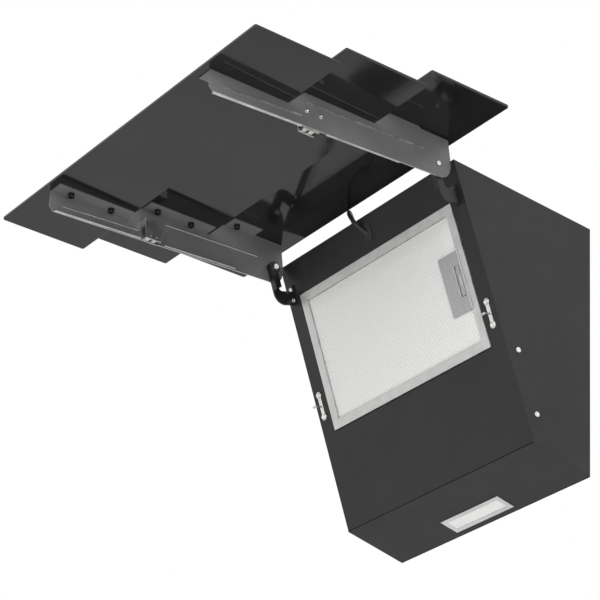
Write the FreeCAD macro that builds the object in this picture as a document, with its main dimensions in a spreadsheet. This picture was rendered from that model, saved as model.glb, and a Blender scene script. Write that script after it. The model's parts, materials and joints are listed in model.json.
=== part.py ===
import FreeCAD, Part
import math
import os

# Wall-fixed range hood with a lift-up glass front, in millimetres.
# X runs along the wall, -Y points into the room and +Z is up.
# The origin is the centre of the back face, which lies against the wall.

DIMENSIONS = {
    # Folded steel housing
    "housing_width": 391.0,
    "housing_height": 393.5,
    "top_depth": 256.7,
    "face_slant": 22.39,
    "face_length": 408.9,
    "bottom_slope": 8.7,
    "bottom_length": 102.1,
    "sheet": 1.2,
    "seam": 1.4,
    "wall_hole_spacing_x": 300.0,
    "wall_hole_spacing_z": 240.0,
    "wall_hole_radius": 4.0,
    "side_screw_depth_high": 132.7,
    "side_screw_height_high": -54.35,
    "side_screw_depth_low": 97.6,
    "side_screw_height_low": -138.85,
    # Opening for the cable, a slot across the top of the face
    "cable_slot_drop": 25.0,
    "cable_slot_half_length": 6.0,
    "cable_slot_radius": 7.0,
    # Grease filter and its tray
    "filter_half_width": 168.0,
    "filter_top": 54.0,
    "filter_bottom": 264.0,
    "filter_border": 13.0,
    "filter_hinge_across": 164.0,
    "filter_hinge_height": -6.0,
    "filter_hinge_radius": 1.5,
    "filter_back": 10.0,
    "filter_proud": 1.5,
    "filter_gap": 1.5,
    "tray_depth": 12.4,
    "tray_lip": 8.0,
    "mesh_thickness": 3.0,
    "latch_inner": 119.0,
    "latch_outer": 158.0,
    "latch_top": 119.0,
    "latch_bottom": 204.0,
    "latch_thickness": 2.5,
    "latch_slot_centre": 149.0,
    "latch_slot_half_width": 5.0,
    "latch_slot_top": 139.0,
    "latch_slot_bottom": 183.0,
    # Lift-up front: frame at the hinge axis
    "hinge_depth": 278.1,
    "hinge_height": 182.75,
    "front_tilt": 3.82,
    "glass_half_width": 300.0,
    "glass_depth": 135.4,
    "glass_pitch": 143.8,
    "glass_step": 27.0,
    "glass_thickness": 4.5,
    "glass_corner": 3.0,
    "lower_glass_front": 391.9,
    "lower_glass_height": -8.1,
    "bracket_outer": 190.0,
    "bracket_sheet": 1.5,
    "bracket_flange_inner": 165.0,
    "bracket_lip": 4.0,
    "bead_proud": 1.0,
    # Hinge arm
    "arm_inner": 178.0,
    "arm_outer": 187.5,
    "arm_web": 2.8,
    "arm_foot": 3.0,
    "pivot_drop": 4.8,
    "pivot_stand_off": 25.1,
    "pivot_radius": 2.5,
    "pivot_head_radius": 3.6,
    "pivot_head": 1.0,
    "boss_radius": 9.0,
    "running_fit": 0.05,
    # Roller catch and strike
    "catch_across": 183.0,
    "roller_radius": 4.0,
    "roller_front": 221.5,
    "roller_rear": 211.5,
    "roller_height": -29.0,
    "strike_top": 199.0,
    "strike_bottom": 244.0,
    "spear_drop": 222.5,
    "spear_length": 17.0,
    # Lamp, measured up the bottom panel from its front edge
    "lamp_offset": -2.5,
    "lamp_half_length": 59.0,
    "lamp_start": 60.0,
    "lamp_width": 31.5,
    "lens_half_length": 52.0,
    "lens_margin": 6.5,
    "bezel_proud": 1.5,
    # Fan
    "fan_axis_depth": 98.0,
    "fan_axis_height": 71.75,
    "impeller_radius": 55.0,
    "impeller_half_width": 50.0,
    "blade_count": 30.0,
    "scroll_half_width": 61.0,
    "scroll_sheet": 2.0,
    "scroll_radius_rear": 68.0,
    "scroll_radius_bottom": 75.0,
    "scroll_radius_front": 84.0,
    "tongue_offset": 35.8,
    "tongue_rise": 53.1,
    "shaft_radius": 4.0,
    "motor_radius": 38.0,
    "motor_length": 60.0,
    # Outlet collar and its two flaps
    "duct_depth": 122.0,
    "duct_hole_radius": 58.0,
    "collar_radius": 60.0,
    "collar_wall": 1.5,
    "collar_height": 50.0,
    "collar_flange_radius": 70.0,
    "collar_flange": 1.5,
    "flap_radius": 55.0,
    "flap_thickness": 1.5,
    "flap_axis_rise": 22.0,
    "flap_pin_radius": 2.0,
    "flap_knuckle_radius": 3.2,
    # Mains cable
    "cable_radius": 3.2,
    "coil_inner_turn": 37.1,
    "coil_outer_turn": 43.5,
    "coil_x": -132.0,
    "coil_y": -135.0,
    "coil_height": 13.3,
}

# The cable's route outside its coil, chosen by hand.
CABLE_ROUTE = [
    (3.0, -238.0, 167.0),
    (-8.0, -258.0, 180.0),
    (-20.0, -266.5, 202.0),
    (-35.0, -257.0, 222.0),
    (-53.0, -238.0, 230.0),
    (-71.0, -217.0, 228.0),
    (-88.0, -198.0, 216.0),
    (-108.0, -182.0, 204.0),
    (-132.0, -178.5, 200.0),
]
TAIL_ROUTE = [
    (-175.5, -135.0, 206.4),
    (-175.5, -88.0, 209.3),
]

SHEET_NAME = "Dims"
TOLERANCE = 1e-6

doc = FreeCAD.newDocument("RangeHood")
sub_parts = []
cuts = []


class Size:
    """A length together with the spreadsheet expression that gives it."""

    def __init__(self, text, value):
        self.text = text
        self.value = value

    @staticmethod
    def of(number):
        if isinstance(number, Size):
            return number
        return Size(f"({float(number)!r})", float(number))

    def __add__(self, other):
        other = Size.of(other)
        return Size(f"({self.text} + {other.text})", self.value + other.value)

    def __sub__(self, other):
        other = Size.of(other)
        return Size(f"({self.text} - {other.text})", self.value - other.value)

    def __mul__(self, factor):
        factor = Size.of(factor)
        return Size(f"({self.text} * {factor.text})", self.value * factor.value)

    def __truediv__(self, divisor):
        divisor = Size.of(divisor)
        return Size(f"({self.text} / {divisor.text})", self.value / divisor.value)

    def __neg__(self):
        return Size(f"(0 - {self.text})", -self.value)

    def __radd__(self, other):
        return Size.of(other) + self

    def __rsub__(self, other):
        return Size.of(other) - self

    __rmul__ = __mul__


class Dimensions:
    """Gives each driving dimension as a Size, by its alias."""

    def __getattr__(self, alias):
        return Size(f"{SHEET_NAME}.{alias}", DIMENSIONS[alias])


dims = Dimensions()


def make_spreadsheet():
    sheet = doc.addObject("Spreadsheet::Sheet", SHEET_NAME)
    for row, (alias, value) in enumerate(DIMENSIONS.items(), start=1):
        sheet.set(f"A{row}", alias.replace("_", " "))
        sheet.set(f"B{row}", str(value))
        sheet.setAlias(f"B{row}", alias)
    doc.recompute()


def bind(target, prop, size):
    target.setExpression(prop, Size.of(size).text)


def frame(depth, height, turn):
    """A frame turned about X, at the given depth in front of the wall."""
    return FreeCAD.Placement(
        FreeCAD.Vector(0, -depth, height),
        FreeCAD.Rotation(FreeCAD.Vector(1, 0, 0), turn),
    )


WORLD = FreeCAD.Placement()
HALF_HEIGHT = dims.housing_height / 2
# In the face frame Y runs up the slanted face from its top edge and Z out of it.
FACE = frame(dims.top_depth.value, HALF_HEIGHT.value, 90 + dims.face_slant.value)
# In the front's frame the origin is on the hinge axis and Z is the glass's normal.
FRONT = frame(dims.hinge_depth.value, dims.hinge_height.value, dims.front_tilt.value)


def bottom_front_corner():
    """Depth and height of the edge where the face meets the bottom."""
    slant = math.radians(dims.face_slant.value)
    length = dims.face_length.value
    depth = dims.top_depth.value - length * math.sin(slant)
    height = HALF_HEIGHT.value - length * math.cos(slant)
    return depth, height


# In the bottom frame Y runs to the rear along the bottom panel and Z up into it.
BOTTOM = frame(*bottom_front_corner(), -dims.bottom_slope.value)


def register(piece, label, placement):
    piece.Label = label
    piece.Placement = placement
    sub_parts.append(piece)
    return piece


def new_body(label, placement=WORLD):
    body = doc.addObject("PartDesign::Body", f"Body_{label}")
    body.AllowCompound = True
    return register(body, label, placement)


def new_sketch(body, role, start):
    plane = next(item for item in body.Origin.OriginFeatures if item.Role == role)
    sketch = body.newObject("Sketcher::SketchObject", f"{body.Name}_Outline")
    sketch.AttachmentSupport = [(plane, "")]
    sketch.MapMode = "FlatFace"
    bind(sketch, "AttachmentOffset.Base.z", start)
    return sketch


def pin_point(sketch, geometry, vertex, point):
    """Fixes one point of a sketch at sizes measured from the origin."""
    axes = (("DistanceX", -2), ("DistanceY", -1))
    for (kind, axis), size in zip(axes, point):
        size = Size.of(size)
        if abs(size.value) < TOLERANCE:
            sketch.addConstraint(Sketch_constraint("PointOnObject", geometry, vertex, axis))
            continue
        rule = Sketch_constraint(kind, -1, 1, geometry, vertex, size.value)
        index = sketch.addConstraint(rule)
        bind(sketch, f"Constraints[{index}]", size)


def Sketch_constraint(*arguments):
    import Sketcher

    return Sketcher.Constraint(*arguments)


def draw_polygon(sketch, points):
    corners = [FreeCAD.Vector(Size.of(x).value, Size.of(y).value, 0) for x, y in points]
    first = sketch.GeometryCount
    for start, end in zip(corners, corners[1:] + corners[:1]):
        sketch.addGeometry(Part.LineSegment(start, end), False)
    for index, point in enumerate(points):
        line = first + index
        following = first + (index + 1) % len(points)
        sketch.addConstraint(Sketch_constraint("Coincident", line, 2, following, 1))
        pin_point(sketch, line, 1, point)


def draw_rectangle(sketch, x_range, y_range):
    (left, right), (low, high) = x_range, y_range
    draw_polygon(sketch, [(left, low), (right, low), (right, high), (left, high)])


def draw_circle(sketch, centre, radius):
    x, y = (Size.of(value) for value in centre)
    radius = Size.of(radius)
    circle = Part.Circle(FreeCAD.Vector(x.value, y.value, 0), FreeCAD.Vector(0, 0, 1), radius.value)
    index = sketch.addGeometry(circle, False)
    pin_point(sketch, index, 3, (x, y))
    rule = sketch.addConstraint(Sketch_constraint("Radius", index, radius.value))
    bind(sketch, f"Constraints[{rule}]", radius)


def pad(body, sketch, length):
    feature = body.newObject("PartDesign::Pad", f"{body.Name}_Pad")
    feature.Profile = sketch
    bind(feature, "Length", length)
    return feature


def pocket(body, sketch, length):
    """Cuts along the sketch's own normal, from its plane."""
    feature = body.newObject("PartDesign::Pocket", f"{body.Name}_Pocket")
    feature.Profile = sketch
    feature.Reversed = True
    bind(feature, "Length", length)
    cuts.append(feature)
    return feature


def add_block(body, x_range, y_range, z_range):
    low, high = z_range
    sketch = new_sketch(body, "XY_Plane", low)
    draw_rectangle(sketch, x_range, y_range)
    return pad(body, sketch, Size.of(high) - low)


def cut_block(body, x_range, y_range, z_range):
    low, high = z_range
    sketch = new_sketch(body, "XY_Plane", low)
    draw_rectangle(sketch, x_range, y_range)
    return pocket(body, sketch, Size.of(high) - low)


def add_profile(body, points, x_range):
    """Pads an outline in Y and Z along X."""
    low, high = x_range
    sketch = new_sketch(body, "YZ_Plane", low)
    draw_polygon(sketch, points)
    return pad(body, sketch, Size.of(high) - low)


def add_discs(body, role, circles, start, length):
    sketch = new_sketch(body, role, start)
    for centre, radius in circles:
        draw_circle(sketch, centre, radius)
    return pad(body, sketch, length)


def cut_discs(body, role, circles, start, length):
    sketch = new_sketch(body, role, start)
    for centre, radius in circles:
        draw_circle(sketch, centre, radius)
    return pocket(body, sketch, length)


def round_edges(body, radius, chosen):
    """Fillets the body's edges that the test accepts."""
    doc.recompute()
    base = body.Tip
    names = [f"Edge{i}" for i, edge in enumerate(base.Shape.Edges, start=1) if chosen(edge)]
    fillet = body.newObject("PartDesign::Fillet", f"{body.Name}_Fillet")
    fillet.Base = (base, names)
    bind(fillet, "Radius", radius)
    return fillet


def runs_along(edge, axis):
    ends = [vertex.Point for vertex in edge.Vertexes]
    if len(ends) != 2:
        return False
    direction = ends[1] - ends[0]
    return abs(abs(direction[axis]) - direction.Length) < TOLERANCE


def mirrored(side, near, far):
    """An X range on one side, from two distances from the middle plane."""
    near, far = Size.of(near), Size.of(far)
    return (near, far) if side > 0 else (-far, -near)


def side_name(side):
    return "right" if side > 0 else "left"


def cross_pattern(x_distance, y_distance):
    return [(x_distance * i, y_distance * j) for i in (-1, 1) for j in (-1, 1)]


INNER_HALF = dims.housing_width / 2 - dims.sheet


# ---------------------------------------------------------------- housing

def make_back_panel():
    body = new_body("back_panel")
    sketch = new_sketch(body, "XZ_Plane", 0)
    draw_rectangle(sketch, (-INNER_HALF, INNER_HALF), (-HALF_HEIGHT, HALF_HEIGHT))
    spacing = (dims.wall_hole_spacing_x / 2, dims.wall_hole_spacing_z / 2)
    for centre in cross_pattern(*spacing):
        draw_circle(sketch, centre, dims.wall_hole_radius)
    pad(body, sketch, dims.sheet)


def side_screw_places():
    high = (-dims.side_screw_depth_high, dims.side_screw_height_high)
    low = (-dims.side_screw_depth_low, dims.side_screw_height_low)
    return [high, low]


def make_side_panel(side):
    body = new_body(f"{side_name(side)}_side_panel")
    depth, height = bottom_front_corner()
    low, _ = mirrored(side, INNER_HALF, INNER_HALF + dims.sheet)
    sketch = new_sketch(body, "YZ_Plane", low)
    outline = [(0, -HALF_HEIGHT), (0, HALF_HEIGHT), (-dims.top_depth, HALF_HEIGHT), (-depth, height)]
    draw_polygon(sketch, outline)
    for centre in side_screw_places():
        draw_circle(sketch, centre, SIDE_SHANK + dims.running_fit)
    pad(body, sketch, dims.sheet)


SIDE_SHANK = Size.of(2.0)
SIDE_HEAD = Size.of(4.0)


def make_side_screws():
    body = new_body("side_screws")
    outer = dims.housing_width / 2
    for side in (-1, 1):
        shank = mirrored(side, outer - 7, outer)
        head = mirrored(side, outer, outer + 1.8)
        for (low, high), radius in ((shank, SIDE_SHANK), (head, SIDE_HEAD)):
            circles = [(centre, radius) for centre in side_screw_places()]
            add_discs(body, "YZ_Plane", circles, low, high - low)


def make_top_panel():
    body = new_body("top_panel")
    lean = dims.sheet.value * math.tan(math.radians(dims.face_slant.value))
    outline = [
        (-dims.sheet, HALF_HEIGHT - dims.sheet),
        (-dims.sheet, HALF_HEIGHT),
        (-dims.top_depth, HALF_HEIGHT),
        (-dims.top_depth + lean, HALF_HEIGHT - dims.sheet),
    ]
    add_profile(body, outline, (-INNER_HALF, INNER_HALF))
    hole = [((0, -dims.duct_depth), dims.duct_hole_radius)]
    cut_discs(body, "XY_Plane", hole, HALF_HEIGHT - dims.sheet * 2, dims.sheet * 3)


def make_bottom_panel():
    body = new_body("bottom_panel", BOTTOM)
    rear = dims.bottom_length - dims.seam
    add_block(body, (-INNER_HALF, INNER_HALF), (0, rear), (0, dims.sheet))
    inset = dims.lens_margin - 1.5
    length = dims.lamp_half_length - inset
    across = (dims.lamp_offset - length, dims.lamp_offset + length)
    along = (dims.lamp_start + inset, dims.lamp_start + dims.lamp_width - inset)
    cut_block(body, across, along, (-dims.sheet, dims.sheet * 2))


def cable_slot_circles(radius):
    reach = dims.cable_slot_half_length
    drop = dims.cable_slot_drop
    return [((0, -drop - reach), radius), ((0, -drop + reach), radius)]


def cable_slot_block(radius):
    reach = dims.cable_slot_half_length
    drop = dims.cable_slot_drop
    return (-radius, radius), (-drop - reach, -drop + reach)


def filter_window(margin):
    """The filter's outline on the face, grown by a margin."""
    half = dims.filter_half_width + margin
    return (-half, half), (-dims.filter_bottom - margin, -dims.filter_top + margin)


def make_face_panel():
    body = new_body("face_panel", FACE)
    sketch = new_sketch(body, "XY_Plane", -dims.sheet)
    top = -dims.sheet * 1.5
    bottom = dims.seam - dims.face_length
    draw_rectangle(sketch, (-INNER_HALF, INNER_HALF), (bottom, top))
    draw_rectangle(sketch, *filter_window(dims.filter_gap))
    pad(body, sketch, dims.sheet)
    through = (-dims.sheet * 2, dims.sheet * 3)
    for circle in cable_slot_circles(dims.cable_slot_radius):
        cut_discs(body, "XY_Plane", [circle], *through)
    cut_block(body, *cable_slot_block(dims.cable_slot_radius), (-dims.sheet * 2, dims.sheet))
    for side in (-1, 1):
        places = [((x, y), FACE_SHANK + dims.running_fit) for x, y in face_screw_places(side)]
        cut_discs(body, "XY_Plane", places, *through)


FACE_SHANK = Size.of(1.7)


def arm_screw_places(side):
    across = (dims.arm_inner + 3.5) * side
    return [(across, -40.0), (across, -56.5)]


def strike_screw_places(side):
    across = dims.catch_across * side
    return [(across, -dims.strike_top - 6), (across, -dims.strike_bottom + 6)]


def face_screw_places(side):
    return arm_screw_places(side) + strike_screw_places(side)


def make_filter_tray():
    body = new_body("filter_tray", FACE)
    wall = (-dims.tray_depth, -dims.sheet)
    sketch = new_sketch(body, "XY_Plane", wall[0])
    draw_rectangle(sketch, *filter_window(dims.tray_lip))
    draw_rectangle(sketch, *filter_window(dims.tray_lip - dims.sheet))
    pad(body, sketch, wall[1] - wall[0])
    sketch = new_sketch(body, "XY_Plane", wall[0])
    draw_rectangle(sketch, *filter_window(dims.tray_lip))
    draw_rectangle(sketch, *filter_window(-dims.tray_lip))
    pad(body, sketch, dims.sheet)
    middle = -dims.filter_hinge_across
    for low, high in filter_hinge_spans(3.0, dims.tray_lip - dims.sheet):
        lug = (dims.sheet - dims.tray_depth, dims.filter_hinge_height + 3)
        add_block(body, (middle - 3, middle + 3), (low, high), lug)
        bore = [((middle, dims.filter_hinge_height), dims.filter_hinge_radius + dims.running_fit)]
        cut_discs(body, "XZ_Plane", bore, -high - 1, high - low + 2)


def filter_hinge_spans(near, far):
    """The stretches above and below the filter between two distances from its ends."""
    near, far = Size.of(near), Size.of(far)
    top = -dims.filter_top
    bottom = -dims.filter_bottom
    return [(top + near, top + far), (bottom - far, bottom - near)]


# ------------------------------------------------------- arms and strikes

def make_hinge_arm(side):
    body = new_body(f"{side_name(side)}_hinge_arm", FACE)
    pivot = (-dims.pivot_drop, dims.pivot_stand_off)
    outer_edge = dims.pivot_stand_off + 8.4
    inner_edge = dims.pivot_stand_off - 2.6
    web = [
        (-62.0, 0),
        (-62.0, outer_edge),
        (-dims.pivot_drop, outer_edge),
        (-dims.pivot_drop, inner_edge),
        (-40.5, inner_edge),
        (-40.5, dims.arm_foot),
        (-33.0, dims.arm_foot),
        (-33.0, 0),
    ]
    add_profile(body, web, mirrored(side, dims.arm_outer - dims.arm_web, dims.arm_outer))
    round_edges(body, 18.0, lambda edge: is_corner(edge, -62.0, outer_edge.value))
    round_edges(body, 6.0, lambda edge: is_corner(edge, -40.5, inner_edge.value))
    neck = [
        (-36.0, inner_edge),
        (-40.0, outer_edge),
        (-dims.pivot_drop, outer_edge),
        (-dims.pivot_drop, inner_edge),
    ]
    across = mirrored(side, dims.arm_inner, dims.arm_outer)
    add_profile(body, neck, across)
    foot = [(-62.0, 0), (-62.0, dims.arm_foot), (-33.0, dims.arm_foot), (-33.0, 0)]
    add_profile(body, foot, across)
    width = across[1] - across[0]
    add_discs(body, "YZ_Plane", [(pivot, dims.boss_radius)], across[0], width)
    bore = dims.pivot_radius + dims.running_fit
    cut_discs(body, "YZ_Plane", [(pivot, bore)], across[0] - 1, width + 2)
    holes = [(place, FACE_SHANK + dims.running_fit) for place in arm_screw_places(side)]
    cut_discs(body, "XY_Plane", holes, -1, dims.arm_foot + 2)


def is_corner(edge, y, z):
    if not runs_along(edge, 0):
        return False
    point = edge.Vertexes[0].Point
    return math.hypot(point.y - y, point.z - z) < 0.1


def make_face_screws(label, places, seat, head_radius):
    """Pan-head screws into the face, with their heads on a plate of a given thickness."""
    body = new_body(label, FACE)
    shanks = [(place, FACE_SHANK) for side in (-1, 1) for place in places(side)]
    add_discs(body, "XY_Plane", shanks, -6.0, seat + 6.0)
    heads = [(place, Size.of(head_radius)) for place, _ in shanks]
    add_discs(body, "XY_Plane", heads, seat, 1.8)


def make_strike(side):
    body = new_body(f"{side_name(side)}_strike", FACE)
    middle = dims.catch_across * side
    waist = (middle - 3.2, middle + 3.2)
    add_block(body, waist, (-dims.strike_bottom + 6, -dims.strike_top - 6), (0, STRIKE_PLATE))
    for place in strike_screw_places(side):
        add_discs(body, "XY_Plane", [(place, Size.of(5.0))], 0, Size.of(STRIKE_PLATE))
    y = -dims.spear_drop
    tip = dims.spear_length
    spear = [
        (y - 0.7, 0),
        (y - 0.7, tip - 4.6),
        (y - 1.9, tip - 2.6),
        (y, tip),
        (y + 1.9, tip - 2.6),
        (y + 0.7, tip - 4.6),
        (y + 0.7, 0),
    ]
    add_profile(body, spear, (middle - SPEAR_HALF_WIDTH, middle + SPEAR_HALF_WIDTH))
    holes = [(place, FACE_SHANK + dims.running_fit) for place in strike_screw_places(side)]
    cut_discs(body, "XY_Plane", holes, -1, 4)


def make_pivot_bolts():
    body = new_body("pivot_bolts", FRONT)
    for side in (-1, 1):
        neck = dims.bracket_outer + 0.3
        shank = mirrored(side, dims.arm_inner - 3, neck)
        head = mirrored(side, neck, neck + dims.pivot_head)
        nut = mirrored(side, dims.arm_inner - 3, dims.arm_inner)
        pieces = ((shank, dims.pivot_radius), (head, dims.pivot_head_radius), (nut, Size.of(4.5)))
        for (low, high), radius in pieces:
            add_discs(body, "YZ_Plane", [((0, 0), radius)], low, high - low)


def make_pivot_washers():
    body = new_body("pivot_washers", FRONT)
    inner = dims.bracket_outer - dims.bracket_sheet
    for side in (-1, 1):
        low, high = mirrored(side, dims.arm_outer + 0.3, inner)
        sketch = new_sketch(body, "YZ_Plane", low)
        draw_circle(sketch, (0, 0), 7.0)
        draw_circle(sketch, (0, 0), dims.pivot_radius + dims.running_fit)
        pad(body, sketch, high - low)


# ------------------------------------------------------------------- lamp

def lamp_across(half):
    return dims.lamp_offset - half, dims.lamp_offset + half


def lamp_along(margin):
    return dims.lamp_start + margin, dims.lamp_start + dims.lamp_width - margin


def make_lamp_bezel():
    body = new_body("lamp_bezel", BOTTOM)
    lens = (lamp_across(dims.lens_half_length), lamp_along(dims.lens_margin))
    sketch = new_sketch(body, "XY_Plane", -dims.bezel_proud)
    draw_rectangle(sketch, lamp_across(dims.lamp_half_length), lamp_along(0))
    draw_rectangle(sketch, *lens)
    pad(body, sketch, dims.bezel_proud)
    sketch = new_sketch(body, "XY_Plane", 0)
    inset = dims.lens_margin - 1.4
    draw_rectangle(sketch, lamp_across(dims.lamp_half_length - inset), lamp_along(inset))
    draw_rectangle(sketch, *lens)
    pad(body, sketch, 6.0)


def make_lamp_lens():
    body = new_body("lamp_lens", BOTTOM)
    gap = 0.1
    across = lamp_across(dims.lens_half_length - gap)
    add_block(body, across, lamp_along(dims.lens_margin + gap), (-1.0, 1.0))


def make_lamp_board():
    body = new_body("lamp_board", BOTTOM)
    across = lamp_across(dims.lens_half_length - 1)
    add_block(body, across, lamp_along(dims.lens_margin + 1), (4.0, 5.6))
    middle = dims.lamp_start + dims.lamp_width / 2
    count = 8
    for index in range(count):
        centre = dims.lamp_offset + (index - (count - 1) / 2) * 12.0
        add_block(body, (centre - 1.5, centre + 1.5), (middle - 1.5, middle + 1.5), (3.2, 4.0))


def make_lamp_driver():
    body = new_body("lamp_driver", BOTTOM)
    add_block(body, (80.0, 140.0), (45.0, 80.0), (dims.sheet, 20.0))


# -------------------------------------------------------------------- fan

FAN_X = FreeCAD.Vector(1, 0, 0)


def fan_point(back, up, x=0.0):
    """A point given by its distances behind and above the fan's axis."""
    return FreeCAD.Vector(x, back - dims.fan_axis_depth.value, up + dims.fan_axis_height.value)


def scroll_arc(start_angle, end_angle, start_radius, end_radius, x):
    """An arc of the scroll; angles run from the rear, down and round to the front."""
    points = []
    middle = ((start_angle + end_angle) / 2, (start_radius + end_radius) / 2)
    for angle, radius in ((start_angle, start_radius), middle, (end_angle, end_radius)):
        turn = math.radians(angle)
        points.append(fan_point(radius * math.cos(turn), -radius * math.sin(turn), x))
    return Part.Arc(*points).toShape(), points[0], points[-1]


def scroll_edges(x):
    """The scroll's inner wall, from the outlet's rear edge round to its front edge."""
    top = HALF_HEIGHT.value - dims.sheet.value - 1 - dims.fan_axis_height.value
    tongue_back = dims.tongue_offset.value
    tongue_up = dims.tongue_rise.value
    tongue_radius = math.hypot(tongue_back, tongue_up)
    tongue_angle = -math.degrees(math.atan2(tongue_up, tongue_back))
    radii = [
        tongue_radius,
        dims.scroll_radius_rear.value,
        dims.scroll_radius_bottom.value,
        dims.scroll_radius_front.value,
    ]
    angles = [tongue_angle, 0, 90, 180]
    edges = []
    for index in range(3):
        edge, first, last = scroll_arc(
            angles[index], angles[index + 1], radii[index], radii[index + 1], x
        )
        if index == 0:
            edges.append(Part.LineSegment(fan_point(tongue_back, top, x), first).toShape())
        edges.append(edge)
    front = -dims.scroll_radius_front.value
    edges.append(Part.LineSegment(last, fan_point(front, top, x)).toShape())
    return edges


def scroll_faces(x):
    """The scroll's inside section, and the same section with the wall added."""
    edges = scroll_edges(x)
    closing = Part.LineSegment(edges[-1].Vertexes[-1].Point, edges[0].Vertexes[0].Point)
    wire = Part.Wire(Part.__sortEdges__(edges + [closing.toShape()]))
    inside = Part.Face(wire)
    return inside, inside.makeOffset2D(dims.scroll_sheet.value)


def add_feature(label, shape):
    feature = doc.addObject("Part::Feature", f"Feature_{label}")
    feature.Shape = shape
    return register(feature, label, WORLD)


def trim_above(shape):
    """Cuts away whatever stands above the scroll's outlet."""
    top = HALF_HEIGHT.value - dims.sheet.value - 1
    block = Part.makeBox(400, 400, 50, FreeCAD.Vector(-200, -400, top))
    return shape.cut(block)


def make_fan_scroll():
    half = dims.scroll_half_width.value
    inside, outside = scroll_faces(-half)
    wall = outside.extrude(FAN_X * 2 * half).cut(inside.extrude(FAN_X * 2 * half))
    add_feature("fan_scroll", trim_above(open_outlet(wall)))


def open_outlet(wall):
    """Removes the wall across the top of the outlet."""
    top = HALF_HEIGHT.value - dims.sheet.value - 1
    half = dims.scroll_half_width.value
    front = -dims.scroll_radius_front.value
    size = dims.tongue_offset.value - front
    corner = fan_point(front, top - dims.fan_axis_height.value - 0.01, -half)
    return wall.cut(Part.makeBox(2 * half, size, 10, corner))


def make_fan_plate(label, x, hole_radius):
    _, outside = scroll_faces(x)
    plate = outside.extrude(FAN_X * dims.scroll_sheet.value)
    hole = Part.makeCylinder(hole_radius, 20, fan_point(0, 0, x - 10), FAN_X)
    add_feature(label, trim_above(plate.cut(hole)))


def motor_screw_circles(radius):
    circles = []
    for index in range(3):
        turn = math.radians(90 + 120 * index)
        place = (
            43.0 * math.cos(turn) - dims.fan_axis_depth,
            43.0 * math.sin(turn) + dims.fan_axis_height,
        )
        circles.append((place, radius))
    return circles


def make_motor():
    body = new_body("motor")
    axis = (-dims.fan_axis_depth, dims.fan_axis_height)
    start = dims.scroll_half_width + dims.scroll_sheet
    flange = 3.0
    add_discs(body, "YZ_Plane", [(axis, Size.of(48.0))], start, flange)
    add_discs(body, "YZ_Plane", [(axis, dims.motor_radius)], start, dims.motor_length)
    bore = dims.shaft_radius + dims.running_fit
    cut_discs(body, "YZ_Plane", [(axis, bore)], start - 1, dims.motor_length - 5)
    holes = motor_screw_circles(SIDE_SHANK + dims.running_fit)
    cut_discs(body, "YZ_Plane", holes, start - 1, flange + 2)


def make_motor_screws():
    body = new_body("motor_screws")
    start = dims.scroll_half_width + dims.scroll_sheet
    flange = 3.0
    add_discs(body, "YZ_Plane", motor_screw_circles(SIDE_SHANK), start, flange)
    add_discs(body, "YZ_Plane", motor_screw_circles(SIDE_HEAD), start + flange, 2.5)


def along_fan_axis(start):
    """A placement with its own Z along the fan's axis."""
    return FreeCAD.Placement(
        fan_point(0, 0, start), FreeCAD.Rotation(FreeCAD.Vector(0, 1, 0), 90)
    )


def make_impeller():
    body = new_body("impeller", along_fan_axis(-dims.impeller_half_width.value))
    width = dims.impeller_half_width * 2
    inner = dims.impeller_radius - 9
    sketch = new_sketch(body, "XY_Plane", width - 1.5)
    draw_circle(sketch, (0, 0), dims.impeller_radius)
    draw_circle(sketch, (0, 0), dims.shaft_radius)
    pad(body, sketch, 1.5)
    sketch = new_sketch(body, "XY_Plane", width - 25)
    draw_circle(sketch, (0, 0), 12.0)
    draw_circle(sketch, (0, 0), dims.shaft_radius)
    pad(body, sketch, 24.0)
    sketch = new_sketch(body, "XY_Plane", 0)
    draw_circle(sketch, (0, 0), dims.impeller_radius)
    draw_circle(sketch, (0, 0), inner)
    pad(body, sketch, 3.0)
    sketch = new_sketch(body, "XY_Plane", 2.0)
    outline = [(inner, 0), (inner + 8.5, 4.0), (inner + 8.5, 5.2), (inner, 1.2)]
    draw_polygon(sketch, outline)
    blade = pad(body, sketch, width - 3)
    pattern = body.newObject("PartDesign::PolarPattern", "Blades")
    pattern.Originals = [blade]
    axis = next(item for item in body.Origin.OriginFeatures if item.Role == "Z_Axis")
    pattern.Axis = (axis, [""])
    pattern.Angle = 360
    bind(pattern, "Occurrences", dims.blade_count)
    body.Tip = pattern


def make_motor_shaft():
    body = new_body("motor_shaft")
    axis = (-dims.fan_axis_depth, dims.fan_axis_height)
    end = dims.scroll_half_width + dims.scroll_sheet + dims.motor_length - 8
    start = dims.impeller_half_width - 38
    add_discs(body, "YZ_Plane", [(axis, dims.shaft_radius)], start, end - start)


def make_impeller_nut():
    body = new_body("impeller_nut")
    axis = (-dims.fan_axis_depth, dims.fan_axis_height)
    start = dims.impeller_half_width - 33
    sketch = new_sketch(body, "YZ_Plane", start)
    draw_circle(sketch, axis, 7.5)
    draw_circle(sketch, axis, dims.shaft_radius)
    pad(body, sketch, 8.0)


# ---------------------------------------------------------- outlet collar

FLANGE_TOP = HALF_HEIGHT + dims.collar_flange
FLAP_HEIGHT = FLANGE_TOP + dims.flap_axis_rise


def collar_screw_places():
    reach = (dims.collar_radius + dims.collar_flange_radius) / 2 * math.sqrt(0.5)
    return [(x, y - dims.duct_depth) for x, y in cross_pattern(reach, reach)]


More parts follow.
